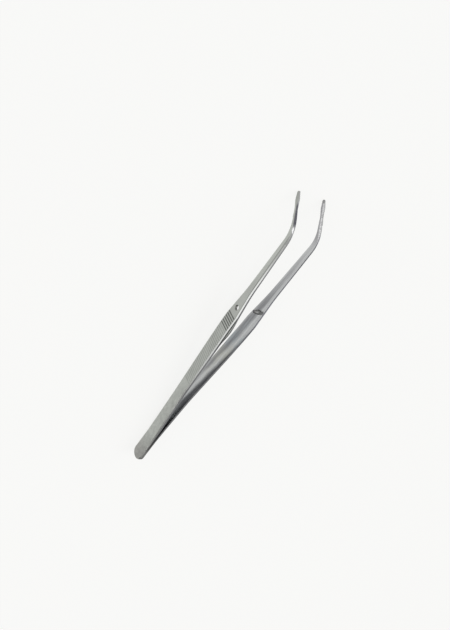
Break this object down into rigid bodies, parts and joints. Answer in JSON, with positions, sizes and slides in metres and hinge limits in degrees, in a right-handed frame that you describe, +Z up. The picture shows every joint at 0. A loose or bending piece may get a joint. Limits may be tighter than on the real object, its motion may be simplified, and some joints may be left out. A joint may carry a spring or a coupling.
{
  "type": "tweezers",
  "caption": "Angled stainless steel tweezers: two spring arms joined at the butt, bent beaks, ribbed grips and a guide pin.",
  "frame": {"origin": "centre of the bounding box at the level of the surface the tweezers lie on", "axes": "+X along the length from the joined butt to the tips, +Y from the arm with the guide pin to the arm with the guide hole, +Z up from the surface; the beaks bend down towards -Z"},
  "size_m": [0.15, 0.0148, 0.0122],
  "materials": {
    "satin_steel": "satin",
    "pin_steel": "polished"
  },
  "bodies": {
    "root": {"arm_with_hole": "satin_steel", "arm_with_pin": "satin_steel", "guide_pin": "pin_steel"}
  },
  "joints": []
}
